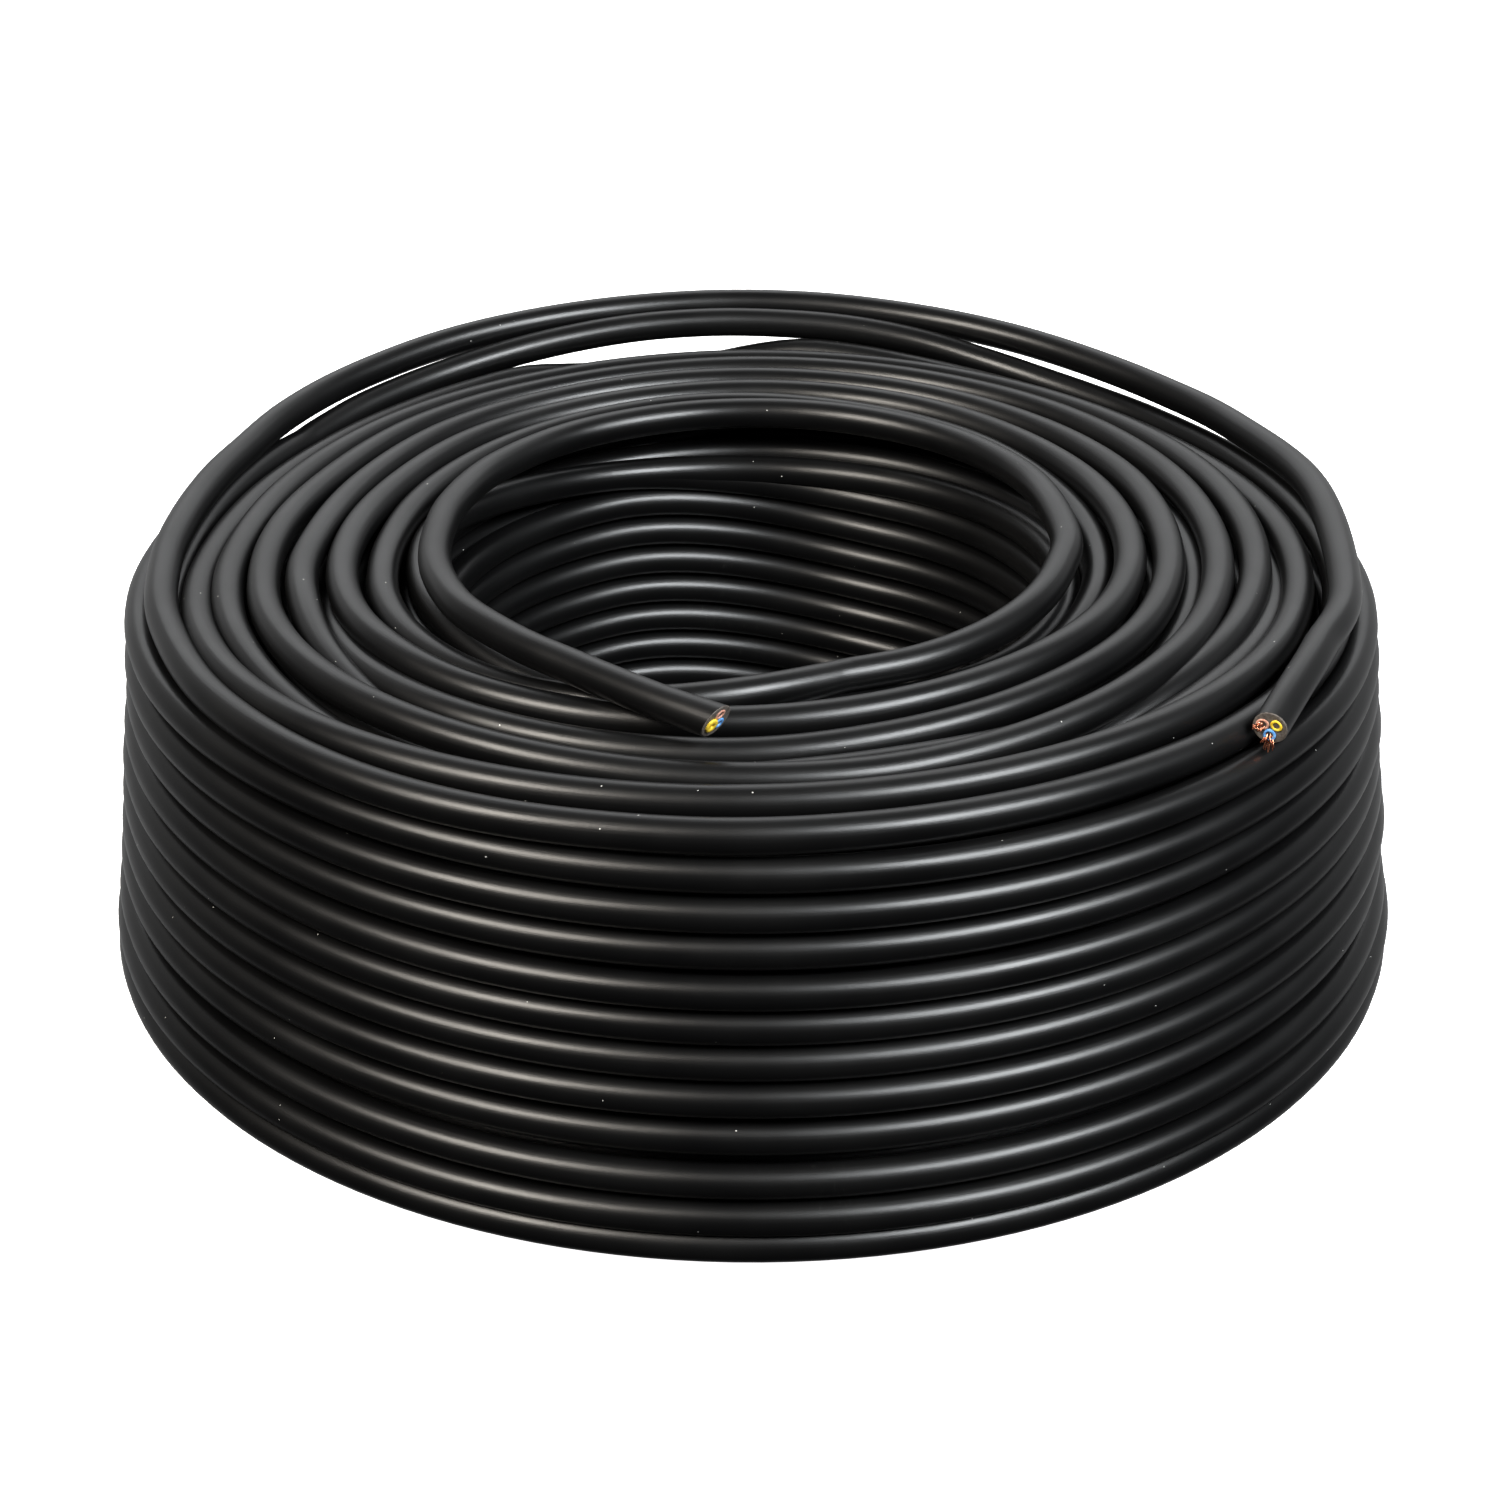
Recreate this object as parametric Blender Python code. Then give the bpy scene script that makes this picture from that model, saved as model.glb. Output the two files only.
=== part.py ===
"""A machine-wound coil of round three-core flexible cable, lying flat on its end.

The origin is the centre of the coil's underside, +Z runs up along the axis of the bore,
and all sizes are in metres. The winding is one turned solid whose ends and sides show the turns.
The loose end of the outside and the end of the bore are tubes along their real routes, and each
is cut open to show the three insulated cores and their copper.
"""

import math

import bmesh
import bpy
from mathutils import Vector

# Driving sizes of the cable
CABLE_DIAMETER = 0.0084
CORE_DIAMETER = 0.0029
CONDUCTOR_DIAMETER = 0.0016
CLEARANCE = 0.0003

# Driving sizes of the winding. Each layer sinks a little into the grooves of the one inside it, the turns of
# a layer lie a little apart, and the layers lean outwards towards the floor, the outermost by all the lean
BORE_RADIUS = 0.0776
LAYER_COUNT = 11
LAYER_NESTING = 0.00044
TURNS_HIGH = 12
TURN_GAP = 0.00062
CLOSE_TURN_GAP = 0.00014
LAYER_LEAN = 0.0115

# The bore layer and the two outermost ones are a turn short, because their last turns lie loose
SHORT_LAYERS = (0, LAYER_COUNT - 2, LAYER_COUNT - 1)

# The layer inside the outermost is wound closer, so that a loose turn lies in the groove above it
CLOSE_WOUND_LAYER = LAYER_COUNT - 2

# How deep the cut ends are modelled, and how far the cores' copper shows out of them
CORE_LENGTH = 0.012
CONDUCTOR_LENGTH = 0.006

# How far the first core is turned round the cable's axis in each cut end
OUTER_ROLL_DEGREES = 120
INNER_ROLL_DEGREES = 60

# Fineness of the faceted surfaces
RING_STEPS = 32
TURN_SIDES = 8
CREASE_MARGIN_DEGREES = 12
SHALLOWEST_CREASE = 0.25
CORE_SIDES = 10
TUBE_POINT_SPACING = 2.9
TUBE_BEVEL_RESOLUTION = 3
CURVE_STEPS = 24

# Colours are linear, read from the photograph
SHEATH_BLACK = (0.012, 0.012, 0.013)
CORE_COLOURS = {
    "brown": (0.30, 0.13, 0.08),
    "blue": (0.05, 0.22, 0.55),
    "yellow_green": (0.80, 0.55, 0.03),
}
COPPER = (0.72, 0.33, 0.19)

# Route of the loose outer turns: azimuth in degrees, and how far out from and above the top turn of the
# outermost layer the centre lies, in cable diameters
LOOSE_TURN_ROUTE = [
    (148, -0.82, 0.76),
    (144, -0.82, 0.92),
    (137, -0.82, 1.20),
    (127, -0.84, 1.49),
    (116, -1.00, 1.88),
    (105, -1.14, 2.18),
    (95, -1.18, 2.27),
    (86, -1.14, 2.20),
    (78, -1.05, 2.05),
    (70, -0.93, 1.75),
    (62, -0.84, 1.34),
    (55, -0.79, 1.05),
    (48, -0.77, 0.88),
    (40, -0.77, 0.79),
    (28, -0.77, 0.76),
    (17, -0.76, 0.76),
    (6, -0.76, 0.76),
    (-5, -0.76, 0.76),
    (-16, -0.76, 0.76),
    (-27, -0.76, 0.76),
    (-38, -0.77, 0.77),
    (-50, -0.70, 0.88),
    (-65, -0.48, 1.04),
    (-80, -0.28, 1.11),
    (-95, -0.15, 1.11),
    (-112, -0.02, 1.11),
    (-128, -0.08, 1.11),
    (-145, -0.30, 1.13),
    (-162, -0.58, 1.16),
    (-175, -0.74, 1.22),
    (-185, -0.78, 1.30),
    (-195, -0.68, 1.40),
    (-203, -0.54, 1.48),
    (-212, -0.28, 1.72),
    (-222, -0.14, 1.98),
    (-234, -0.08, 2.27),
    (-245, -0.08, 2.44),
    (-256, -0.08, 2.54),
    (-267, -0.08, 2.58),
    (-278, -0.08, 2.52),
    (-289, -0.04, 2.34),
    (-299, -0.08, 2.16),
    (-309, -0.24, 1.98),
    (-320, -0.40, 1.84),
    (-332, -0.52, 1.79),
    (-350, -0.60, 1.79),
    (-375, -0.58, 1.79),
    (-388, -0.46, 1.75),
    (-396, -0.12, 1.58),
    (-402, 0.32, 1.30),
]

# Route of the end that leaves the bore, likewise from the top turn of the bore layer
INNER_END_ROUTE = [
    (-75, -0.22, 1.13),
    (-60, -0.22, 1.15),
    (-45, -0.21, 1.22),
    (-30, -0.17, 1.34),
    (-15, -0.15, 1.47),
    (0, -0.09, 1.62),
    (25, -0.05, 1.72),
    (50, -0.03, 1.78),
    (75, -0.03, 1.81),
    (100, -0.04, 1.80),
    (125, -0.08, 1.78),
    (148, -0.14, 1.76),
    (168, -0.18, 1.78),
    (185, -0.08, 1.86),
    (200, 0.32, 2.04),
    (212, 0.78, 2.16),
    (222, 1.18, 2.19),
    (235, 1.62, 2.19),
    (245, 2.10, 2.19),
    (253, 2.76, 2.19),
    (260, 3.56, 2.19),
    (266, 4.38, 2.19),
]


def clear_scene():
    for thing in list(bpy.data.objects):
        bpy.data.objects.remove(thing, do_unlink=True)


def make_material(name, colour, roughness, metallic=0.0):
    material = bpy.data.materials.new(name)
    material.use_nodes = True
    shader = material.node_tree.nodes["Principled BSDF"]
    shader.inputs["Base Color"].default_value = (*colour, 1.0)
    shader.inputs["Roughness"].default_value = roughness
    shader.inputs["Metallic"].default_value = metallic
    return material


def add_object(name, mesh, material):
    item = bpy.data.objects.new(name, mesh)
    bpy.context.scene.collection.objects.link(item)
    mesh.materials.clear()
    mesh.materials.append(material)
    mesh.shade_smooth()
    mesh.set_sharp_from_angle(angle=math.radians(40))
    return item


# The winding


def turn_pitch_of(layer):
    return CABLE_DIAMETER + (CLOSE_TURN_GAP if layer == CLOSE_WOUND_LAYER else TURN_GAP)


def turns_of(layer):
    return TURNS_HIGH - 1 if layer in SHORT_LAYERS else TURNS_HIGH


def turn_centre(layer, turn):
    """Radius and height of the centre of one turn of a layer, counted from the floor."""
    height = CABLE_DIAMETER / 2 + turn * turn_pitch_of(layer)
    full_height = CABLE_DIAMETER + (TURNS_HIGH - 1) * (CABLE_DIAMETER + TURN_GAP)
    lean = LAYER_LEAN * layer / (LAYER_COUNT - 1) * (0.5 - height / full_height)
    layer_pitch = CABLE_DIAMETER - LAYER_NESTING
    return (BORE_RADIUS + CABLE_DIAMETER / 2 + layer * layer_pitch + lean, height)


def top_turn_centre(layer):
    return turn_centre(layer, turns_of(layer) - 1)


def column_of_turns(layer):
    """Centres of one layer's turns in the section, from the lowest to the highest."""
    return [turn_centre(layer, turn) for turn in range(turns_of(layer))]


def section_centres():
    """Centres of the turns that bound the section, up the outside, inwards, down the bore, outwards."""
    outside = column_of_turns(LAYER_COUNT - 1)
    bore = column_of_turns(0)
    middle_layers = range(1, LAYER_COUNT - 1)
    top = [top_turn_centre(layer) for layer in reversed(middle_layers)]
    bottom = [turn_centre(layer, 0) for layer in middle_layers]
    return outside + top + list(reversed(bore)) + bottom


def crease_between(first, second):
    """The point where two neighbouring turns meet on the outside of the section."""
    run = (second[0] - first[0], second[1] - first[1])
    length = math.hypot(*run)
    half = length / 2
    radius = CABLE_DIAMETER / 2
    lift = max(math.sqrt(max(radius * radius - half * half, 0.0)), SHALLOWEST_CREASE * radius)
    outward = (run[1] / length, -run[0] / length)
    middle = ((first[0] + second[0]) / 2, (first[1] + second[1]) / 2)
    return (middle[0] + outward[0] * lift, middle[1] + outward[1] * lift)


def rounded_turn(centre, start, end):
    """Corners of a regular polygon round a turn's centre that lie between two creases.

    The polygon stands on a flat side, and its sides are a radius away from the centre.
    """
    margin = math.radians(CREASE_MARGIN_DEGREES)
    first = math.atan2(start[1] - centre[1], start[0] - centre[0])
    last = math.atan2(end[1] - centre[1], end[0] - centre[0])
    while last < first:
        last += 2 * math.pi
    half_side = math.pi / TURN_SIDES
    reach = CABLE_DIAMETER / 2 / math.cos(half_side)
    points = []
    for corner in range(-TURN_SIDES, 2 * TURN_SIDES):
        angle = half_side + 2 * half_side * corner
        if first + margin < angle < last - margin:
            points.append((centre[0] + reach * math.cos(angle), centre[1] + reach * math.sin(angle)))
    return points


def section_outline():
    centres = section_centres()
    outline = []
    for index, centre in enumerate(centres):
        before = crease_between(centres[index - 1], centre)
        after = crease_between(centre, centres[(index + 1) % len(centres)])
        outline.append(before)
        outline.extend(rounded_turn(centre, before, after))
    return outline


def make_winding(material):
    """The wound turns: the section spun once round the axis of the bore."""
    shape = bmesh.new()
    corners = [shape.verts.new((radius, 0.0, height)) for radius, height in section_outline()]
    edges = [shape.edges.new((corners[index - 1], corner)) for index, corner in enumerate(corners)]
    bmesh.ops.spin(
        shape,
        geom=corners + edges,
        cent=(0, 0, 0),
        axis=(0, 0, 1),
        angle=2 * math.pi,
        steps=RING_STEPS,
        use_merge=True,
    )
    bmesh.ops.recalc_face_normals(shape, faces=shape.faces)
    mesh = bpy.data.meshes.new("wound_turns")
    shape.to_mesh(mesh)
    shape.free()
    add_object("wound_turns", mesh, material)


# The loose ends


def route_points(route, layer):
    """The points of a route over the top turn of a layer."""
    top_radius, top_height = top_turn_centre(layer)
    points = []
    for azimuth, outwards, upwards in route:
        angle = math.radians(azimuth)
        radius = top_radius + outwards * CABLE_DIAMETER
        height = top_height + upwards * CABLE_DIAMETER
        points.append(Vector((radius * math.cos(angle), radius * math.sin(angle), height)))
    return points


def smooth_between(before, start, end, after, share):
    """A point of the Catmull-Rom curve between start and end."""
    square = share * share
    cube = square * share
    return 0.5 * (
        2 * start
        + (end - before) * share
        + (2 * before - 5 * start + 4 * end - after) * square
        + (3 * start - before - 3 * end + after) * cube
    )


def even_points(points, spacing):
    """Points at an even spacing along a smooth curve through the given ones."""
    fine = []
    last = len(points) - 1
    for index in range(last):
        before = points[max(index - 1, 0)]
        after = points[min(index + 2, last)]
        for step in range(CURVE_STEPS):
            share = step / CURVE_STEPS
            fine.append(smooth_between(before, points[index], points[index + 1], after, share))
    fine.append(points[last])
    lengths = [0.0]
    for index in range(1, len(fine)):
        lengths.append(lengths[-1] + (fine[index] - fine[index - 1]).length)
    count = max(2, round(lengths[-1] / spacing))
    result = []
    segment = 0
    for number in range(count + 1):
        target = lengths[-1] * number / count
        while segment < len(fine) - 2 and lengths[segment + 1] < target:
            segment += 1
        share = (target - lengths[segment]) / (lengths[segment + 1] - lengths[segment])
        result.append(fine[segment].lerp(fine[segment + 1], share))
    return result


def tube_mesh(name, points):
    """A round tube along the points, made from a bevelled curve with filled caps."""
    curve = bpy.data.curves.new(name + "_route", "CURVE")
    curve.dimensions = "3D"
    curve.bevel_depth = CABLE_DIAMETER / 2
    curve.bevel_resolution = TUBE_BEVEL_RESOLUTION
    curve.use_fill_caps = True
    spline = curve.splines.new("POLY")
    spline.points.add(len(points) - 1)
    for place, point in zip(spline.points, points):
        place.co = (*point, 1.0)
    carrier = bpy.data.objects.new(name + "_route", curve)
    bpy.context.scene.collection.objects.link(carrier)
    depsgraph = bpy.context.evaluated_depsgraph_get()
    mesh = bpy.data.meshes.new_from_object(carrier.evaluated_get(depsgraph), depsgraph=depsgraph)
    bpy.data.objects.remove(carrier, do_unlink=True)
    mesh.name = name
    return mesh


def cylinder_mesh(name, radius, length, sides, hole_radius=0.0, hole_depth=0.0):
    """A cylinder from z = -length up to z = 0, with an optional blind hole in its upper face."""
    shape = bmesh.new()
    outline = [(length, 0.0), (length, radius), (0.0, radius)]
    if hole_radius > 0:
        outline.extend([(0.0, hole_radius), (hole_depth, hole_radius), (hole_depth, 0.0)])
    else:
        outline.append((0.0, 0.0))
    corners = [shape.verts.new((across, 0.0, -depth)) for depth, across in outline]
    edges = [shape.edges.new((corners[index], corners[index + 1])) for index in range(len(corners) - 1)]
    bmesh.ops.spin(
        shape,
        geom=corners + edges,
        cent=(0, 0, 0),
        axis=(0, 0, 1),
        angle=2 * math.pi,
        steps=sides,
        use_merge=True,
    )
    bmesh.ops.remove_doubles(shape, verts=shape.verts, dist=1e-6)
    bmesh.ops.dissolve_degenerate(shape, dist=1e-7, edges=shape.edges)
    bmesh.ops.recalc_face_normals(shape, faces=shape.faces)
    mesh = bpy.data.meshes.new(name)
    shape.to_mesh(mesh)
    shape.free()
    return mesh


def turn_at_end(points):
    """Rotation whose Z runs out of the end of the route."""
    return (points[-1] - points[-2]).to_track_quat("Z", "Y")


def core_offset():
    """How far the axis of each of the three cores lies from the axis of the cable."""
    return (CORE_DIAMETER + CLEARANCE) / math.sqrt(3)


def cut_recess(sheath, end, turn):
    """Hollow the end of a sheath tube for its cores."""
    depth = CORE_LENGTH + CLEARANCE
    beyond = CLEARANCE
    recess_radius = core_offset() + CORE_DIAMETER / 2 + CLEARANCE
    mesh = cylinder_mesh(sheath.name + "_cutter", recess_radius, depth + beyond, 2 * CORE_SIDES)
    cutter = bpy.data.objects.new(sheath.name + "_cutter", mesh)
    bpy.context.scene.collection.objects.link(cutter)
    cutter.rotation_mode = "QUATERNION"
    cutter.rotation_quaternion = turn
    cutter.location = end + turn @ Vector((0.0, 0.0, beyond))
    cutter.hide_render = True
    cutter.display_type = "WIRE"
    cut = sheath.modifiers.new("cut_end", "BOOLEAN")
    cut.operation = "DIFFERENCE"
    cut.object = cutter


def make_cores(prefix, end, turn, roll, materials):
    """The three insulated cores in a cut end, each with its copper, flush with the cut."""
    offset = core_offset()
    core_bore = CONDUCTOR_DIAMETER / 2 + CLEARANCE
    for index, colour in enumerate(CORE_COLOURS):
        angle = roll + index * 2 * math.pi / 3
        place = end + turn @ Vector((offset * math.cos(angle), offset * math.sin(angle), 0.0))
        core = cylinder_mesh(
            prefix + "_core_" + colour,
            CORE_DIAMETER / 2,
            CORE_LENGTH,
            CORE_SIDES,
            core_bore,
            CONDUCTOR_LENGTH + CLEARANCE,
        )
        wire = cylinder_mesh(
            prefix + "_conductor_" + colour,
            CONDUCTOR_DIAMETER / 2,
            CONDUCTOR_LENGTH,
            CORE_SIDES,
        )
        for mesh, material in ((core, materials[colour]), (wire, materials["copper"])):
            item = add_object(mesh.name, mesh, material)
            item.rotation_mode = "QUATERNION"
            item.rotation_quaternion = turn
            item.location = place


def make_loose_end(name, prefix, route, layer, roll_degrees, materials):
    """A stretch of cable that lies free over the top turn of a layer, with its cut end."""
    points = even_points(route_points(route, layer), TUBE_POINT_SPACING * CABLE_DIAMETER)
    sheath = add_object(name, tube_mesh(name, points), materials["sheath"])
    turn = turn_at_end(points)
    cut_recess(sheath, points[-1], turn)
    make_cores(prefix, points[-1], turn, math.radians(roll_degrees), materials)


def main():
    clear_scene()
    materials = {"sheath": make_material("sheath", SHEATH_BLACK, 0.45)}
    for colour, value in CORE_COLOURS.items():
        materials[colour] = make_material("core_" + colour, value, 0.4)
    materials["copper"] = make_material("copper", COPPER, 0.3, 1.0)
    make_winding(materials["sheath"])
    outermost = LAYER_COUNT - 1
    make_loose_end("loose_outer_turns", "outer", LOOSE_TURN_ROUTE, outermost, OUTER_ROLL_DEGREES, materials)
    make_loose_end("inner_end", "inner", INNER_END_ROUTE, 0, INNER_ROLL_DEGREES, materials)


main()
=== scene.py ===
import math

import bpy
import numpy as np
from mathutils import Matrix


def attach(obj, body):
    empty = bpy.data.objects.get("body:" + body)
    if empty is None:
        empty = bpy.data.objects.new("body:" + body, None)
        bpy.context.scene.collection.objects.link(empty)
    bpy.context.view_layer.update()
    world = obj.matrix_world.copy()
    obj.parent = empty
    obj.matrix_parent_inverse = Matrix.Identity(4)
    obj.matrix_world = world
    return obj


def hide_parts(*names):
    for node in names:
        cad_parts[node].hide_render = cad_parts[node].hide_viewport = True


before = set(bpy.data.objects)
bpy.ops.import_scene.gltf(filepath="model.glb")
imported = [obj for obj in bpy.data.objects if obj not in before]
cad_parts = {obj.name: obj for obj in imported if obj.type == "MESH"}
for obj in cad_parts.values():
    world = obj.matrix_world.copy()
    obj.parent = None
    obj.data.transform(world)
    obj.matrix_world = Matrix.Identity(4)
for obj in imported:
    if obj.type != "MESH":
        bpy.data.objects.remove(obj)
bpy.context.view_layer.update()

# Driving sizes of the cable and the winding, the same as in the CAD
CABLE = 0.0084
BORE_RADIUS = 0.0776
LAYER_COUNT = 11
LAYER_PITCH = 0.00796
TURNS_HIGH = 12
TURN_PITCH = 0.00902
CLOSE_TURN_PITCH = 0.00854
LAYER_LEAN = 0.0115
SHORT_LAYERS = (0, 9, 10)
CLOSE_WOUND_LAYER = 9

# Fineness of the tubes, and the spacing of the points along the loose lengths
STEPS_PER_TURN = 160
SIDES = 16
LOOSE_SIDES = 32
LOOSE_SPACING = 0.0045
INNER_SPACING = 0.0035
STEPS_PER_KNOT = 24

# Route of the loose outer turn: azimuth in degrees, and how far out from and above the top turn of the
# outermost layer the centre lies, in cable diameters
LOOSE_TURN_ROUTE = [
    (148, -0.82, 0.76), (144, -0.82, 0.92), (137, -0.82, 1.20), (127, -0.84, 1.49), (116, -1.00, 1.88),
    (105, -1.14, 2.18), (95, -1.18, 2.27), (86, -1.14, 2.20), (78, -1.05, 2.05), (70, -0.93, 1.75),
    (62, -0.84, 1.34), (55, -0.79, 1.05), (48, -0.77, 0.88), (40, -0.77, 0.79), (28, -0.77, 0.76),
    (17, -0.76, 0.76), (6, -0.76, 0.76), (-5, -0.76, 0.76), (-16, -0.76, 0.76), (-27, -0.76, 0.76),
    (-38, -0.77, 0.77), (-50, -0.70, 0.88), (-65, -0.48, 1.04), (-80, -0.28, 1.11), (-95, -0.15, 1.11),
    (-112, -0.02, 1.11), (-128, -0.08, 1.11), (-145, -0.30, 1.13), (-162, -0.58, 1.16), (-175, -0.74, 1.22),
    (-185, -0.78, 1.30), (-195, -0.68, 1.40), (-203, -0.54, 1.48), (-212, -0.28, 1.72), (-222, -0.14, 1.98),
    (-234, -0.08, 2.27), (-245, -0.08, 2.44), (-256, -0.08, 2.54), (-267, -0.08, 2.58), (-278, -0.08, 2.52),
    (-289, -0.04, 2.34), (-299, -0.08, 2.16), (-309, -0.24, 1.98), (-320, -0.40, 1.84), (-332, -0.52, 1.79),
    (-350, -0.60, 1.79), (-375, -0.58, 1.79), (-388, -0.46, 1.75), (-396, -0.12, 1.58), (-402, 0.32, 1.30),
]

# Route of the end that leaves the bore, likewise from the top turn of the bore layer
INNER_END_ROUTE = [
    (-75, -0.22, 1.13), (-60, -0.22, 1.15), (-45, -0.21, 1.22), (-30, -0.17, 1.34), (-15, -0.15, 1.47),
    (0, -0.09, 1.62), (25, -0.05, 1.72), (50, -0.03, 1.78), (75, -0.03, 1.81), (100, -0.04, 1.80),
    (125, -0.08, 1.78), (148, -0.14, 1.76), (168, -0.18, 1.78), (185, -0.08, 1.86), (200, 0.32, 2.04),
    (212, 0.78, 2.16), (222, 1.18, 2.19), (235, 1.62, 2.19), (245, 2.10, 2.19), (253, 2.76, 2.19),
    (260, 3.56, 2.19), (266, 4.38, 2.19),
]

# Where the last step of each layer ends, in degrees, whether the azimuth grows or falls on the way up, and
# the share of a turn that a step takes
STEP_ENDS = (120, 322, 60, 192, 130, 75, 308, 75, 100, 148, 120)
CLIMBS = (1, 1, -1, 1, -1, -1, 1, -1, 1, -1, 1)
STEP_LENGTH = 60 / 360

# The top turns as they lie in the photograph: azimuth, radius and height in cable diameters. An open turn,
# whose azimuths go past a whole circle, comes up from below and ends out of sight or in a loose end.
TOP_TURNS = {
    0: [
        (0, 9.74, 11.24), (120, 9.74, 11.24), (148, 9.95, 11.70), (165, 10.15, 12.02), (185, 10.20, 12.08),
        (200, 10.22, 11.98), (222, 10.00, 11.60), (250, 9.80, 11.34), (275, 9.90, 11.50), (300, 9.90, 11.44),
        (325, 9.76, 11.26),
    ],
    1: [
        (322, 10.62, 11.50), (345, 10.68, 11.85), (360, 10.72, 11.95), (385, 10.80, 12.20),
        (405, 10.85, 12.50), (420, 10.90, 12.60), (435, 10.90, 12.70), (450, 10.92, 12.78),
        (462, 10.92, 12.80), (475, 10.92, 12.74), (490, 10.94, 12.66), (520, 11.00, 12.50),
        (540, 11.18, 12.40), (550, 11.38, 12.40), (560, 11.65, 12.40), (575, 11.95, 12.36),
        (590, 12.02, 12.32), (603, 11.85, 12.34), (614, 11.45, 12.42), (624, 10.90, 12.50),
        (632, 10.34, 12.48), (638, 9.92, 12.43), (642, 9.68, 12.39), (645, 9.53, 12.37),
    ],
    2: [
        (0, 11.62, 12.58), (20, 11.65, 12.65), (45, 11.70, 12.78), (60, 11.85, 12.83), (75, 11.95, 12.85),
        (90, 12.00, 12.85), (105, 12.00, 12.81), (120, 12.00, 12.76), (140, 12.00, 12.76),
        (160, 11.98, 12.72), (180, 12.36, 12.65), (190, 12.60, 12.60), (200, 12.80, 12.55),
        (215, 13.00, 12.58), (230, 12.95, 12.50), (245, 12.66, 12.42), (270, 12.10, 12.36),
        (285, 11.88, 12.40), (300, 11.76, 12.46), (315, 11.72, 12.52), (330, 11.70, 12.54),
        (345, 11.65, 12.55),
    ],
    3: [
        (192, 13.00, 11.50), (205, 13.40, 11.92), (215, 13.70, 12.04), (230, 13.95, 12.18),
        (245, 13.85, 12.16), (270, 13.50, 12.10), (285, 13.25, 12.18), (300, 13.10, 12.27),
        (315, 13.00, 12.36), (330, 12.95, 12.42), (345, 12.85, 12.50), (360, 12.78, 12.60),
        (380, 12.90, 12.70), (405, 13.00, 12.76), (430, 13.05, 12.86), (450, 13.10, 12.88),
        (465, 13.10, 12.86), (480, 13.10, 12.81), (500, 13.10, 12.79), (520, 13.05, 12.74),
        (540, 13.42, 12.65), (550, 13.80, 12.60), (560, 14.05, 12.50), (570, 14.35, 12.30),
        (580, 14.60, 12.00), (592, 14.80, 11.50),
    ],
    4: [
        (0, 13.50, 12.00), (30, 13.60, 11.80), (90, 13.75, 11.60), (150, 13.75, 11.50), (180, 13.92, 11.40),
        (205, 14.10, 11.22), (235, 14.20, 11.30), (262, 14.55, 11.70), (275, 14.52, 11.95),
        (290, 14.38, 12.00), (303, 14.15, 11.80), (320, 13.85, 11.62), (345, 13.60, 11.90),
    ],
    5: [
        (0, 14.25, 12.60), (20, 14.30, 12.66), (45, 14.45, 12.72), (60, 14.50, 12.74), (75, 14.50, 12.78),
        (90, 14.50, 12.78), (105, 14.48, 12.73), (120, 14.45, 12.68), (140, 14.40, 12.68),
        (160, 14.30, 12.65), (180, 14.72, 12.60), (190, 14.95, 12.56), (200, 15.20, 12.54),
        (215, 15.45, 12.55), (230, 15.60, 12.58), (245, 15.55, 12.48), (270, 15.25, 12.24),
        (285, 15.10, 12.20), (300, 14.90, 12.29), (312, 14.80, 12.42), (325, 14.65, 12.55),
        (340, 14.40, 12.54),
    ],
    6: [
        (308, 15.00, 11.50), (318, 15.15, 11.95), (330, 15.35, 12.30), (345, 15.40, 12.45),
        (360, 15.42, 12.55), (380, 15.50, 12.58), (405, 15.60, 12.54), (430, 15.60, 12.60),
        (450, 15.60, 12.62), (465, 15.60, 12.57), (480, 15.60, 12.50), (500, 15.55, 12.48),
        (520, 15.50, 12.45), (540, 15.75, 12.40), (550, 16.02, 12.40), (560, 16.28, 12.35),
        (572, 16.50, 12.20), (584, 16.70, 12.00), (594, 16.80, 11.80), (606, 16.90, 11.30),
    ],
    7: [
        (0, 16.00, 11.70), (30, 16.00, 11.50), (90, 16.05, 11.40), (180, 16.20, 11.40), (240, 16.40, 11.25),
        (295, 16.25, 11.60), (310, 16.15, 11.95), (330, 16.05, 12.05), (350, 16.02, 11.92),
    ],
    8: [
        (0, 16.60, 12.34), (15, 16.52, 12.20), (30, 16.50, 12.08), (45, 16.55, 12.08), (60, 16.60, 12.20),
        (70, 16.66, 12.40), (78, 16.70, 12.60), (84, 16.73, 12.66), (89, 16.75, 12.46), (95, 16.75, 12.12),
        (105, 16.75, 11.96), (112, 16.75, 12.14), (118, 16.75, 12.34), (126, 16.73, 12.26),
        (140, 16.70, 12.08), (160, 16.65, 11.92), (172, 16.62, 11.96), (182, 16.70, 12.10),
        (190, 16.90, 12.22), (200, 17.20, 12.32), (215, 17.48, 12.42), (230, 17.52, 12.52),
        (245, 17.35, 12.54), (270, 17.00, 12.50), (285, 16.95, 12.54), (300, 16.95, 12.58),
        (315, 16.95, 12.56), (330, 16.88, 12.46), (345, 16.74, 12.38),
    ],
}

# How far the turns of the outermost layer lie above their places in the CAD, and out from them
OUTER_TURN_LIFTS = (0.0, -0.20, -0.18, -0.05, 0.0, 0.02, 0.0, -0.02, 0.05, 0.03, 0.05)
OUTER_TURN_SHIFTS = (0.0, 0.12, 0.04, -0.03, 0.03, 0.0, -0.03, 0.02, -0.04, 0.0, 0.0)

# Size of the gentle bends in those turns, in cable diameters
BEND_SIDEWAYS = 0.035
BEND_UPWARDS = 0.025


# Camera at the photograph's viewing angle

camera_data = bpy.data.cameras.new("camera")
camera_data.lens = 74.85
camera_data.sensor_width = 36
camera = bpy.data.objects.new("camera", camera_data)
camera.location = (-0.00054, -0.74474, 0.42823)
camera.rotation_euler = (math.radians(62.74), 0, 0)
bpy.context.scene.collection.objects.link(camera)
bpy.context.scene.camera = camera


# Centre lines


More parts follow.
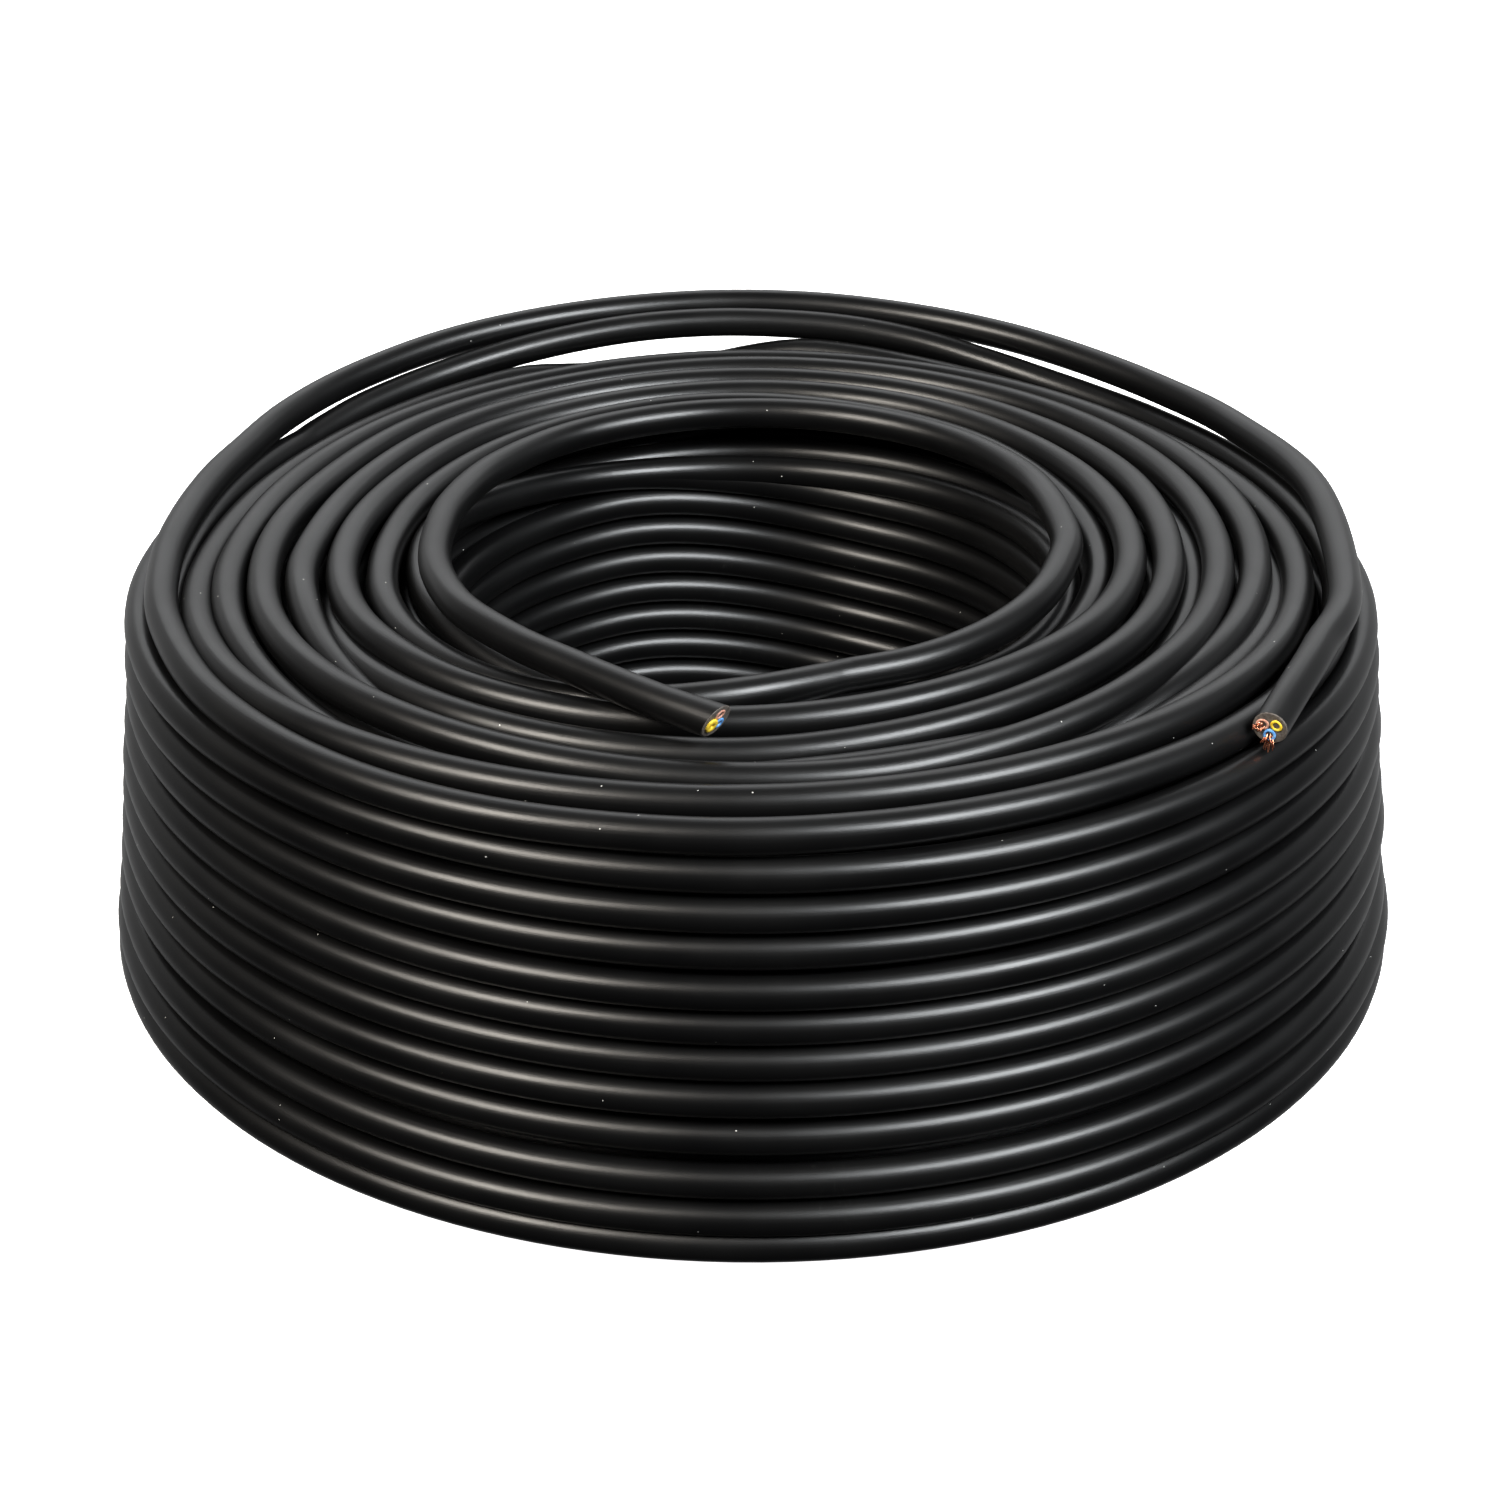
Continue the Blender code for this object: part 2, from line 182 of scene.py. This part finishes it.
def turns_of(layer):
    """The number of turns in a layer."""
    return TURNS_HIGH - 1 if layer in SHORT_LAYERS else TURNS_HIGH


def turn_centre(layer, turn):
    """Radius and height of a turn: equal pitches up and out, and a lean that grows with the layer."""
    pitch = CLOSE_TURN_PITCH if layer == CLOSE_WOUND_LAYER else TURN_PITCH
    height = CABLE / 2 + turn * pitch
    full_height = CABLE + (TURNS_HIGH - 1) * TURN_PITCH
    lean = LAYER_LEAN * layer / (LAYER_COUNT - 1) * (0.5 - height / full_height)
    return BORE_RADIUS + CABLE / 2 + layer * LAYER_PITCH + lean, height


def smooth_step(share):
    """Three times the square less twice the cube, from 0 to 1."""
    share = np.clip(share, 0, 1)
    return share * share * (3 - 2 * share)


def placed(azimuth, radius, height):
    """Points from azimuths in radians, radii and heights."""
    return np.stack([radius * np.cos(azimuth), radius * np.sin(azimuth), height + 0 * azimuth], axis=1)


def slow_waves(azimuth, seed, size):
    """A gentle irregular bend: a sum of five sines of the azimuth with random sizes and phases."""
    random = np.random.default_rng(seed)
    total = np.zeros(azimuth.shape)
    for number in range(1, 6):
        total += random.normal() / number * np.sin(number * azimuth + random.uniform(0, 2 * math.pi))
    return size * total


def route_curve(route, layer, spacing):
    """Points at an even spacing along the Catmull-Rom curve through a route over a layer's top turn."""
    top_radius, top_height = turn_centre(layer, turns_of(layer) - 1)
    table = np.asarray(route, float)
    azimuth = np.radians(table[:, 0])
    knots = placed(azimuth, top_radius + table[:, 1] * CABLE, top_height + table[:, 2] * CABLE)
    padded = np.vstack([knots[:1], knots, knots[-1:]])
    share = (np.arange(STEPS_PER_KNOT) / STEPS_PER_KNOT)[None, :, None]
    before, start, end, after = (padded[n:len(padded) - 3 + n, None, :] for n in range(4))
    curve = 0.5 * (2 * start + (end - before) * share
                   + (2 * before - 5 * start + 4 * end - after) * share ** 2
                   + (3 * start - before - 3 * end + after) * share ** 3)
    fine = np.vstack([curve.reshape(-1, 3), knots[-1:]])
    run = np.concatenate([[0], np.cumsum(np.linalg.norm(np.diff(fine, axis=0), axis=1))])
    places = np.linspace(0, run[-1], max(2, round(run[-1] / spacing)) + 1)
    return np.stack([np.interp(places, run, fine[:, axis]) for axis in range(3)], axis=1), run[-1]


def through(knots, values, places):
    """A smooth curve through values at knots: a cubic between each two, with slopes from the neighbours."""
    slopes = np.gradient(values, knots)
    index = np.clip(np.searchsorted(knots, places, side="right") - 1, 0, len(knots) - 2)
    width = knots[index + 1] - knots[index]
    share = np.clip((places - knots[index]) / width, 0, 1)
    rise = smooth_step(share)
    start_slope = share * (1 - share) ** 2 * width * slopes[index]
    end_slope = share * share * (share - 1) * width * slopes[index + 1]
    return values[index] * (1 - rise) + values[index + 1] * rise + start_slope + end_slope


def is_open(layer):
    """Whether a layer's top turn is given past a whole circle, and so doesn't close on itself."""
    return layer in TOP_TURNS and TOP_TURNS[layer][-1][0] > 360


def top_turn(layer, azimuth):
    """Radius and height of the top turn at azimuths in degrees, in metres."""
    table = np.asarray(TOP_TURNS[layer], float)
    places = np.maximum(azimuth, table[0, 0])
    if not is_open(layer):
        table = np.vstack([table + [shift, 0, 0] for shift in (-360, 0, 360)])
        places = azimuth % 360
    return [CABLE * through(table[:, 0], table[:, column], places) for column in (1, 2)]


def layer_curve(layer):
    """Centre line of one layer: level turns, each with a smooth step up to the next in the same sector.

    The lowest turn, and the highest where its table is closed, run on round the whole circle, so that they
    close on themselves. From the turn below it, a layer rises into its top turn as the table gives it.
    """
    turns = turns_of(layer)
    direction = CLIMBS[layer]
    run_on = 1.0
    if is_open(layer):
        run_on = (TOP_TURNS[layer][-1][0] - TOP_TURNS[layer][0][0]) / 360
    lead = round(STEP_LENGTH * STEPS_PER_TURN)
    count = round((turns - 1 + run_on) * STEPS_PER_TURN)
    wound = np.minimum(np.arange(-lead, count + 1) / STEPS_PER_TURN, turns - 1 + run_on)
    whole = np.clip(np.floor(wound), 0, turns - 1)
    step = smooth_step((wound - whole - 1 + STEP_LENGTH) / STEP_LENGTH)
    on_top = whole == turns - 1
    level = whole + np.where(on_top | (wound < 0), 0, step)
    degrees = STEP_ENDS[layer] + direction * 360 * (wound - turns + 1)
    azimuth = np.radians(degrees)
    radius, height = turn_centre(layer, level)
    if layer in TOP_TURNS:
        top_radius, top_height = top_turn(layer, degrees)
        share = np.clip(level - turns + 2, 0, 1)
        place_radius, place_height = turn_centre(layer, turns - 1)
        if is_open(layer):
            radius = radius + share * (top_radius - radius)
            height = height + share * (top_height - height)
        else:
            radius = radius + share * (top_radius - place_radius)
            height = height + share * (top_height - place_height)
    if layer == LAYER_COUNT - 1:
        height = height + np.interp(level, np.arange(turns), OUTER_TURN_LIFTS) * CABLE
        radius = radius + np.interp(level, np.arange(turns), OUTER_TURN_SHIFTS) * CABLE
        for turn in range(1, turns):
            near = np.clip(1 - np.abs(level - turn), 0, 1)
            radius = radius + near * slow_waves(azimuth, 40 + turn, BEND_SIDEWAYS * CABLE)
            height = height + near * slow_waves(azimuth, 80 + turn, BEND_UPWARDS * CABLE)
    if layer == CLOSE_WOUND_LAYER:
        climb = np.where(on_top, step, 0)
        radius = radius + climb * (math.hypot(loose_path[0, 0], loose_path[0, 1]) - radius)
        height = height + climb * (loose_path[0, 2] - height)
    return placed(azimuth, radius, height)


# Surfaces

# Radius of a tucked tube's first circle, as a share of the tube's own
TUCK = 0.94


def add_piece(name, points, faces, materials, uv=None, smooth=True):
    """A mesh object from points and faces, with its materials and, where given, the uv of every corner."""
    mesh = bpy.data.meshes.new(name)
    mesh.from_pydata(points.tolist(), [], faces)
    if uv is not None:
        layer = mesh.uv_layers.new(name="run")
        layer.data.foreach_set("uv", uv.astype(np.float32).ravel())
    for material in materials:
        mesh.materials.append(material)
    if smooth:
        mesh.shade_smooth()
    mesh.update()
    piece = bpy.data.objects.new(name, mesh)
    bpy.context.scene.collection.objects.link(piece)
    return piece


def path_frames(path):
    """Unit vectors along a path, to its side and upwards: the tangent, its cross with Z, and their cross."""
    along = np.gradient(path, axis=0)
    along /= np.linalg.norm(along, axis=1, keepdims=True)
    side = np.cross(along, [0.0, 0.0, 1.0])
    side /= np.linalg.norm(side, axis=1, keepdims=True)
    return along, side, np.cross(side, along)


def grid_faces(rows, columns):
    """Four-cornered faces of a grid that closes round its columns."""
    row, column = np.meshgrid(np.arange(rows - 1), np.arange(columns), indexing="ij")
    here = row * columns + column
    beside = row * columns + (column + 1) % columns
    return np.stack([here, beside, beside + columns, here + columns], axis=-1).reshape(-1, 4)


def tube(name, path, diameter, materials, sides=SIDES, tucked=False, slant=(0, 0)):
    """A round tube: at each point of the path, a circle of radius d/2 in the side and upward vectors.

    Its u runs along the path and its v round the circle, both in circumferences. Each end has a flat face.
    A tucked tube starts a little thinner, inside the tube that leads to it. The last circle leans by the
    slant, which is how far it goes forwards for each unit to the side and upwards.
    """
    along, side, up = path_frames(path)
    angle = 2 * math.pi * np.arange(sides) / sides
    ring = np.cos(angle)[None, :, None] * side[:, None, :] + np.sin(angle)[None, :, None] * up[:, None, :]
    rings = path[:, None, :] + diameter / 2 * ring
    if tucked:
        rings[0] = path[0] + TUCK * diameter / 2 * ring[0]
    lean = diameter / 2 * (slant[0] * np.cos(angle) + slant[1] * np.sin(angle))
    rings[-1] += lean[:, None] * along[-1]
    points = rings.reshape(-1, 3)
    rows = len(path)
    run = np.concatenate([[0], np.cumsum(np.linalg.norm(np.diff(path, axis=0), axis=1))])
    run /= math.pi * diameter
    row, column = np.meshgrid(np.arange(rows - 1), np.arange(sides), indexing="ij")
    corners = [(row, column), (row, column + 1), (row + 1, column + 1), (row + 1, column)]
    uv = np.stack([np.stack([run[r], c / sides], axis=-1) for r, c in corners], axis=2).reshape(-1, 2)
    flat = np.stack([np.cos(angle), np.sin(angle)], axis=1) / (2 * math.pi)
    faces = grid_faces(rows, sides).tolist()
    faces.append(list(range(sides))[::-1])
    faces.append(list(range((rows - 1) * sides, rows * sides)))
    piece = add_piece(name, points, faces, materials, np.vstack([uv, flat[::-1], flat]))
    ends = np.empty(2 * len(piece.data.edges), dtype=np.int32)
    piece.data.edges.foreach_get("vertices", ends)
    ends = ends.reshape(-1, 2)
    rim = (ends < sides).all(axis=1) | (ends >= (rows - 1) * sides).all(axis=1)
    piece.data.edges.foreach_set("use_edge_sharp", rim)
    return piece


def turned(name, profile, sides, place, squash, materials, slant=(0, 0)):
    """A closed turned shape: a profile of (radius, height) from pole to pole, carried round an axis.

    place is its centre and three unit vectors, to the right, upwards and outwards. squash stretches the
    radius by a sine of twice the angle, with a size and a phase. slant is how far the shape leans outwards
    for each unit to the right and upwards.
    """
    centre, right, up, out = place
    profile = np.asarray(profile, float)
    angle = 2 * math.pi * np.arange(sides) / sides
    inner = profile[1:-1]
    radius = inner[:, :1] * (1 + squash[0] * np.sin(2 * angle + squash[1])[None, :])
    flat = radius[..., None] * (np.cos(angle)[None, :, None] * right + np.sin(angle)[None, :, None] * up)
    lean = slant[0] * (flat @ right) + slant[1] * (flat @ up)
    height = inner[:, 1][:, None] + lean
    points = (centre + flat + height[..., None] * out).reshape(-1, 3)
    points = np.vstack([points, centre + profile[0, 1] * out, centre + profile[-1, 1] * out])
    here = np.arange(sides)
    beside = (here + 1) % sides
    low = len(inner) * sides
    top = (len(inner) - 1) * sides
    faces = grid_faces(len(inner), sides).tolist()
    faces += np.stack([np.full(sides, low), beside, here], axis=1).tolist()
    faces += np.stack([np.full(sides, low + 1), top + here, top + beside], axis=1).tolist()
    return add_piece(name, points, faces, materials)


# Materials


def new_material(name, colour, roughness, metallic=0.0):
    """A material with one Principled shader, and its nodes, links and shader."""
    material = bpy.data.materials.new(name)
    material.use_nodes = True
    nodes = material.node_tree.nodes
    shader = nodes["Principled BSDF"]
    shader.inputs["Base Color"].default_value = (*colour, 1)
    shader.inputs["Roughness"].default_value = roughness
    shader.inputs["Metallic"].default_value = metallic
    return material, nodes, material.node_tree.links, shader


def noise_on(nodes, links, coordinates, scale, detail=2.0, stretch=None):
    """A noise texture on the given coordinates, stretched by a mapping where asked."""
    texture = nodes.new("ShaderNodeTexNoise")
    texture.inputs["Scale"].default_value = scale
    texture.inputs["Detail"].default_value = detail
    if stretch is None:
        links.new(coordinates, texture.inputs["Vector"])
        return texture.outputs["Fac"]
    mapping = nodes.new("ShaderNodeMapping")
    mapping.inputs["Scale"].default_value = stretch
    links.new(coordinates, mapping.inputs["Vector"])
    links.new(mapping.outputs["Vector"], texture.inputs["Vector"])
    return texture.outputs["Fac"]


def ramp_of(nodes, links, value, stops):
    """A colour ramp on a value, from (place, colour) stops."""
    ramp = nodes.new("ShaderNodeValToRGB")
    elements = ramp.color_ramp.elements
    while len(elements) < len(stops):
        elements.new(0.5)
    for element, (place, colour) in zip(elements, stops):
        element.position = place
        element.color = (*colour, 1)
    links.new(value, ramp.inputs["Fac"])
    return ramp.outputs["Color"]


def math_of(nodes, links, kind, *values):
    """A mathematical operation on values, each of them a link or a number."""
    node = nodes.new("ShaderNodeMath")
    node.operation = kind
    for socket, value in zip(node.inputs, values):
        if isinstance(value, (int, float)):
            socket.default_value = value
        else:
            links.new(value, socket)
    return node.outputs["Value"]


def mix_of(nodes, links, share, first, second):
    """A mix of two colours, each of them a link or three numbers, by a share."""
    node = nodes.new("ShaderNodeMix")
    node.data_type = "RGBA"
    links.new(share, node.inputs["Factor"])
    for socket, value in zip(node.inputs[6:8], (first, second)):
        if isinstance(value, tuple):
            socket.default_value = (*value, 1)
        else:
            links.new(value, socket)
    return node.outputs[2]


def bump_of(nodes, links, height, strength, distance, normal=None):
    """A bump from a height, on top of another where one is given."""
    bump = nodes.new("ShaderNodeBump")
    bump.inputs["Strength"].default_value = strength
    bump.inputs["Distance"].default_value = distance
    links.new(height, bump.inputs["Height"])
    if normal is not None:
        links.new(normal, bump.inputs["Normal"])
    return bump.outputs["Normal"]


def dust_on(nodes, links, place, cells, size, share):
    """Small round specks: in a share of the cells of a Voronoi pattern, the space close to the centre."""
    cells_node = nodes.new("ShaderNodeTexVoronoi")
    cells_node.inputs["Scale"].default_value = cells
    links.new(place, cells_node.inputs["Vector"])
    near = math_of(nodes, links, "LESS_THAN", cells_node.outputs["Distance"], size)
    split = nodes.new("ShaderNodeSeparateColor")
    links.new(cells_node.outputs["Color"], split.inputs["Color"])
    chosen = math_of(nodes, links, "LESS_THAN", split.outputs["Red"], share)
    return math_of(nodes, links, "MULTIPLY", near, chosen)


def sheath_material():
    """Semi-matt black PVC: fine grain, faint drawn streaks and bends, rubbed patches and pale dust."""
    material, nodes, links, shader = new_material("black_sheath", SHEATH_BLACK, 0.3)
    coordinates = nodes.new("ShaderNodeTexCoord")
    place = coordinates.outputs["Object"]
    run = coordinates.outputs["UV"]
    grain = noise_on(nodes, links, place, 2600, 2)
    streaks = noise_on(nodes, links, run, 5, 3, (0.2, 8, 1))
    waves = noise_on(nodes, links, run, 1.1, 1, (1, 0.6, 1))
    patches = noise_on(nodes, links, place, 34, 3)
    rubbing = noise_on(nodes, links, place, 21, 2)
    scratches = noise_on(nodes, links, run, 16, 2, (3.5, 0.45, 1))
    rubbed = ramp_of(nodes, links, rubbing, [(0.66, (0, 0, 0)), (0.78, (1, 1, 1))])
    scratched = ramp_of(nodes, links, scratches, [(0.62, (0, 0, 0)), (0.72, (1, 1, 1))])
    marks = math_of(nodes, links, "MULTIPLY", rubbed, scratched)
    marks = math_of(nodes, links, "MULTIPLY", marks, MARK_STRENGTH)
    dust = dust_on(nodes, links, place, DUST_CELLS, DUST_SIZE, DUST_SHARE)
    colour = ramp_of(nodes, links, patches, [(0.3, SHEATH_BLACK), (0.7, SHEATH_PALER)])
    colour = mix_of(nodes, links, marks, colour, SCUFF_GREY)
    colour = mix_of(nodes, links, dust, colour, DUST_GREY)
    links.new(colour, shader.inputs["Base Color"])
    shine = ramp_of(nodes, links, patches, [(0.3, (SMOOTHER,) * 3), (0.7, (ROUGHER,) * 3)])
    links.new(shine, shader.inputs["Roughness"])
    normal = bump_of(nodes, links, waves, 0.12, 0.0004)
    normal = bump_of(nodes, links, streaks, 0.06, 0.0004, normal)
    normal = bump_of(nodes, links, grain, 0.18, 0.0001, normal)
    links.new(normal, shader.inputs["Normal"])
    return material


def plastic_material(name, colour, paler, roughness):
    """Cut or drawn plastic: two close shades in patches of half a millimetre, and a rough cut."""
    material, nodes, links, shader = new_material(name, colour, roughness)
    place = nodes.new("ShaderNodeTexCoord").outputs["Object"]
    patches = noise_on(nodes, links, place, 1400, 3)
    shade = ramp_of(nodes, links, patches, [(0.35, colour), (0.68, paler)])
    links.new(shade, shader.inputs["Base Color"])
    cut = noise_on(nodes, links, place, 2600, 2)
    links.new(bump_of(nodes, links, cut, 0.5, 0.0002), shader.inputs["Normal"])
    return material


def copper_material():
    """Soft copper wire with a brighter and a duller red in places."""
    material, nodes, links, shader = new_material("copper_strands", (0.80, 0.33, 0.20), 0.28, 1.0)
    place = nodes.new("ShaderNodeTexCoord").outputs["Object"]
    patches = noise_on(nodes, links, place, 1100, 2)
    shade = ramp_of(nodes, links, patches, [(0.35, (0.50, 0.15, 0.08)), (0.65, (0.92, 0.48, 0.32))])
    links.new(shade, shader.inputs["Base Color"])
    dull = ramp_of(nodes, links, patches, [(0.35, (0.42,) * 3), (0.65, (0.22,) * 3)])
    links.new(dull, shader.inputs["Roughness"])
    return material


SHEATH_BLACK = (0.0026, 0.0026, 0.0028)
SHEATH_PALER = (0.0044, 0.0044, 0.0045)
SCUFF_GREY = (0.11, 0.11, 0.105)
DUST_GREY = (0.42, 0.42, 0.40)
SMOOTHER = 0.33
ROUGHER = 0.39
MARK_STRENGTH = 0.2

# Dust: cells a metre, the size of a speck as a share of its cell, and the share of the cells with one
DUST_CELLS = 240
DUST_SIZE = 0.045
DUST_SHARE = 0.16

black_sheath = sheath_material()
cut_sheath = plastic_material("cut_sheath", (0.10, 0.085, 0.075), (0.19, 0.17, 0.15), 0.6)
core_plastics = {
    "brown": plastic_material("brown_core", (0.50, 0.24, 0.17), (0.80, 0.50, 0.40), 0.45),
    "blue": plastic_material("blue_core", (0.10, 0.30, 0.66), (0.25, 0.50, 0.85), 0.42),
    "yellow_green": plastic_material("yellow_core", (0.80, 0.52, 0.03), (0.95, 0.74, 0.10), 0.42),
}
copper_strands = copper_material()


# The winding

loose_path, loose_length = route_curve(LOOSE_TURN_ROUTE, LAYER_COUNT - 1, LOOSE_SPACING)
inner_path, inner_length = route_curve(INNER_END_ROUTE, 0, INNER_SPACING)
run_ons = {1: inner_path[1:3], CLOSE_WOUND_LAYER: loose_path[1:3]}

for layer in range(LAYER_COUNT):
    path = layer_curve(layer)
    if layer in run_ons:
        path = np.vstack([path, run_ons[layer]])
    piece = tube("wound_layer_%02d" % (layer + 1), path, CABLE, [black_sheath])
    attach(piece, "root")
    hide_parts("wound_turns")


# The cut ends


def end_place(path):
    """The end of a path, with unit vectors to the right, upwards and outwards as one looks at the cut."""
    out = path[-1] - path[-2]
    out /= np.linalg.norm(out)
    right = np.cross(-out, [0.0, 0.0, 1.0])
    right /= np.linalg.norm(right)
    return path[-1], right, np.cross(right, -out), out


def moved(place, sideways, upwards, slant):
    """A place moved over a slanted cut."""
    centre, right, up, out = place
    outwards = slant[0] * sideways + slant[1] * upwards
    return centre + sideways * right + upwards * up + outwards * out, right, up, out


def strand_bundle(name, place, length, bend, spread, seed):
    """The 19 bent wires of a conductor: 1, 6 and 12 of them in rings, round tubes along a parabola.

    At share t of its length a wire is at its place in the bundle, plus t times the length outwards, plus the
    square of t times the bend and the wire's own spread.
    """
    random = np.random.default_rng(seed)
    centre, right, up, out = place
    ring = np.concatenate([[0], np.full(6, 1), np.full(12, 2)])
    turn = np.concatenate([[0], np.arange(6) / 6, (np.arange(12) + 0.5) / 12]) * 2 * math.pi
    wires = len(ring)
    across = STRAND_PITCH * ring
    start = across[:, None] * np.stack([np.cos(turn), np.sin(turn)], axis=1)
    start = start + random.normal(0, 0.03 * STRAND, start.shape)
    reach = length * (1 + 0.25 * random.uniform(-1, 1, wires))
    apart = 0.5 * start / (2 * STRAND) + random.normal(0, 0.5, start.shape)
    fan = np.asarray(bend)[None, :] + spread * apart
    share = np.linspace(0, 1, STRAND_ROWS)
    flat = start[:, None, :] + fan[:, None, :] * (share ** 2)[None, :, None]
    depth = -STRAND_ROOT + (STRAND_ROOT + reach[:, None]) * share[None, :]
    sides = STRAND_SIDES
    angle = 2 * math.pi * np.arange(sides) / sides
    circle = STRAND / 2 * np.stack([np.cos(angle), np.sin(angle)], axis=1)
    flat = flat[:, :, None, :] + circle[None, None, :, :]
    points = centre + flat[..., :1] * right + flat[..., 1:] * up + depth[:, :, None, None] * out
    rows = len(share)
    one = grid_faces(rows, sides)
    shift = (np.arange(wires) * rows * sides)[:, None, None]
    faces = (one[None] + shift).reshape(-1, 4).tolist()
    faces += (np.arange(sides)[::-1][None] + shift[:, 0]).tolist()
    faces += (np.arange((rows - 1) * sides, rows * sides)[None] + shift[:, 0]).tolist()
    return add_piece(name, points.reshape(-1, 3), faces, [copper_strands])


def cut_end(prefix, path, cores, slant=(0, 0)):
    """The cut face of the sheath, and each core with its copper, which take the place of the CAD's."""
    place = end_place(path)
    radius = CABLE / 2
    face = turned(prefix + "_cut_face", [
        (0, -0.0003), (0.97 * radius, -0.0003), (0.995 * radius, -0.0001), (0.985 * radius, 0.00008),
        (0.93 * radius, 0.00016), (0.80 * radius, 0.00010), (0.45 * radius, 0.00004), (0, 0.00002),
    ], 40, place, (0.004, 0.6), [cut_sheath], slant)
    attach(face, "root")
    pieces = [face]
    for number, (colour, turn, offset, rise, size, hollow, length, bend, spread) in enumerate(cores):
        angle = math.radians(turn)
        core_place = moved(place, offset * math.cos(angle), offset * math.sin(angle), slant)
        outer = size / 2
        bore = hollow * size
        core = turned(prefix + "_core_%s_detail" % colour, [
            (0, -0.003), (outer, -0.003), (outer, rise - 0.00015), (outer - 0.00012, rise),
            (bore + 0.00012, rise + 0.00002), (bore, rise - 0.00015), (bore, rise - 0.0012),
            (0, rise - 0.0012),
        ], 28, core_place, (0.05, 1.3 + 2 * number), [core_plastics[colour]], slant)
        slot = colour + "_insulation"
        strands = strand_bundle(prefix + "_copper_%s" % colour, core_place, length, bend, spread, 7 + number)
        for piece, name, node in ((core, slot, "_core_"), (strands, "copper", "_conductor_")):
            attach(piece, "root")
            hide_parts(prefix + node + colour)
            pieces.append(piece)
    return pieces


# Wires of the conductors: their diameter, how far apart they lie, how deep they start, and their fineness
STRAND = 0.00031
STRAND_PITCH = STRAND * 0.98
STRAND_ROOT = 0.0010
STRAND_ROWS = 7
STRAND_SIDES = 7

# How far the inner end's cut leans outwards, for each unit to the right and upwards
INNER_SLANT = (0.12, 0.45)

# Each core: its colour, its angle, its distance from the middle, how far it stands out, its diameter, its
# bore as a share of that, how far its copper stands out and bends to the right and up, and its spread
outer_pieces = cut_end("outer", loose_path, [
    ("brown", 163, 0.00190, 0.00030, 0.0031, 0.30, 0.0009, (-0.0011, -0.0007), 0.0007),
    ("yellow_green", 32, 0.00172, 0.00035, 0.0029, 0.28, -0.0001, (0.0, -0.0003), 0.0003),
    ("blue", 268, 0.00195, 0.00045, 0.0032, 0.28, 0.0013, (-0.0001, -0.0026), 0.0011),
])
inner_pieces = cut_end("inner", inner_path, [
    ("brown", 70, 0.00170, 0.00030, 0.0027, 0.24, -0.0004, (0.0, 0.0), 0.0002),
    ("yellow_green", 212, 0.00150, 0.00060, 0.0036, 0.14, -0.0006, (0.0, 0.0), 0.0002),
    ("blue", 322, 0.00190, 0.00035, 0.0027, 0.20, -0.0004, (0.0, 0.0), 0.0002),
], INNER_SLANT)

loose_turns = tube("loose_turns", loose_path, CABLE, [black_sheath], LOOSE_SIDES, True)
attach(loose_turns, "root")
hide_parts("loose_outer_turns")

bore_end = tube("bore_end", inner_path, CABLE, [black_sheath], LOOSE_SIDES, True,
                (-INNER_SLANT[0], INNER_SLANT[1]))
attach(bore_end, "root")
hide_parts("inner_end")


# Floor and light

FLOOR_REACH = 60
FLOOR_GLOW = 1.1
AIM_HEIGHT = 0.06


def floor_material():
    """A white floor that shines a little by itself, so that it stays white round the coil."""
    material, _, _, shader = new_material("pale_floor", (0.9, 0.9, 0.9), 0.9)
    shader.inputs["Emission Color"].default_value = (1, 1, 1, 1)
    shader.inputs["Emission Strength"].default_value = FLOOR_GLOW
    return material


bpy.context.scene.view_settings.view_transform = "Standard"
bpy.context.scene.view_settings.gamma = 0.88

floor_points = FLOOR_REACH * np.array([[-1, -1, 0], [1, -1, 0], [1, 1, 0], [-1, 1, 0]], float)
floor = add_piece("floor", floor_points, [[0, 1, 2, 3]], [floor_material()], smooth=False)
floor.visible_glossy = False
floor.visible_diffuse = False

world = bpy.data.worlds.new("studio")
bpy.context.scene.world = world
world.use_nodes = True
world_nodes = world.node_tree.nodes
backing = world_nodes["Background"]
world_links = world.node_tree.links
direction = world_nodes.new("ShaderNodeTexCoord").outputs["Generated"]
split = world_nodes.new("ShaderNodeSeparateXYZ")
world_links.new(direction, split.inputs["Vector"])

# The wall is dark in front and bright behind: its place is 0 at the front and 1 at the back
wall_place = math_of(world_nodes, world_links, "MULTIPLY_ADD", split.outputs["Y"], 0.5, 0.5)
wall = ramp_of(world_nodes, world_links, wall_place, [
    (0.30, (0.022, 0.023, 0.025)),
    (0.60, (0.05, 0.051, 0.053)),
    (0.90, (0.72, 0.725, 0.73)),
])
world_links.new(wall, backing.inputs["Color"])


def softbox(name, azimuth, elevation, distance, width, height, power, colour):
    """An area light that looks at the coil's middle from an azimuth and elevation in degrees."""
    light = bpy.data.lights.new(name, "AREA")
    light.shape = "RECTANGLE"
    light.size = width
    light.size_y = height
    light.energy = power
    light.color = colour
    item = bpy.data.objects.new(name, light)
    turn = math.radians(azimuth)
    rise = math.radians(elevation)
    item.location = (
        distance * math.cos(turn) * math.cos(rise),
        distance * math.sin(turn) * math.cos(rise),
        distance * math.sin(rise) + AIM_HEIGHT,
    )
    item.rotation_euler = (math.radians(90) - rise, 0, turn + math.radians(90))
    item.visible_camera = False
    bpy.context.scene.collection.objects.link(item)


softbox("softbox_left", 222, 42, 1.7, 0.75, 0.60, 36, (1.0, 0.94, 0.86))
softbox("softbox_right", 316, 42, 1.7, 0.85, 0.60, 50, (0.95, 0.98, 1.0))
softbox("softbox_back", 90, 36, 1.9, 2.4, 0.9, 10, (0.97, 0.985, 1.0))
